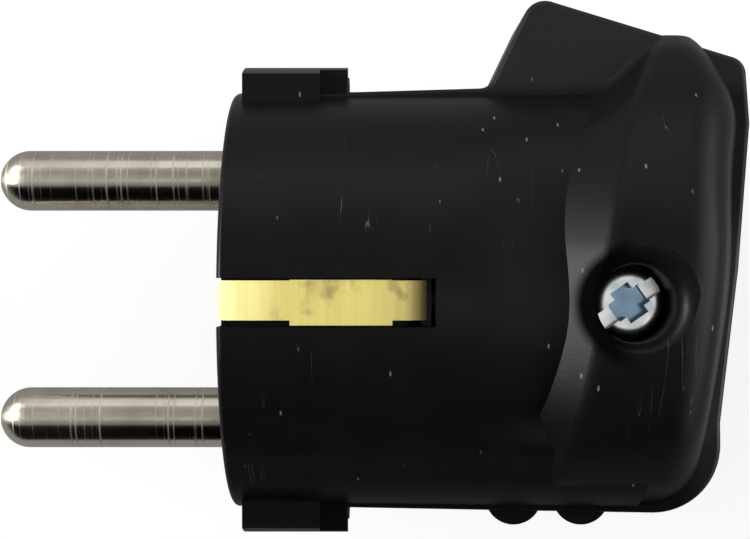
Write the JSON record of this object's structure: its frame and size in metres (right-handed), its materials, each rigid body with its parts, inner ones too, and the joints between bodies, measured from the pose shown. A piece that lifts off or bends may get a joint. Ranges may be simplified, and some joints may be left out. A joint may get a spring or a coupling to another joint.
{
  "type": "mains plug with side cable entry",
  "caption": "Round two-shell mains plug with parallel round pins, side earth contacts, a raised grip hump and a slanted side cable neck.",
  "frame": {"origin": "centre of the engagement face, midway between the pins", "axes": "+X from the engagement face to the rear of the body, so the pins point to -X; +Y towards the cable neck; +Z out of the upper earth contact, up as the plug lies on its other side"},
  "size_m": [0.0587, 0.0412, 0.0342],
  "materials": {
    "shell_plastic": "satin black moulding",
    "nickel_plate": "nickel plate on turned brass",
    "earth_brass": "brushed strip",
    "zinc_steel": "blue zinc plate",
    "clamp_plastic": "satin moulding"
  },
  "bodies": {
    "root": {"upper_shell": "shell_plastic", "lower_shell": "shell_plastic", "live_pin": "nickel_plate", "neutral_pin": "nickel_plate", "live_terminal_screw": "zinc_steel", "neutral_terminal_screw": "zinc_steel", "earth_bow": "earth_brass", "earth_screw": "zinc_steel", "earth_washer": "zinc_steel", "housing_screw": "zinc_steel", "housing_nut": "zinc_steel", "cable_clamp": "clamp_plastic", "cable_clamp_screw_front": "zinc_steel", "cable_clamp_screw_rear": "zinc_steel"}
  },
  "joints": []
}
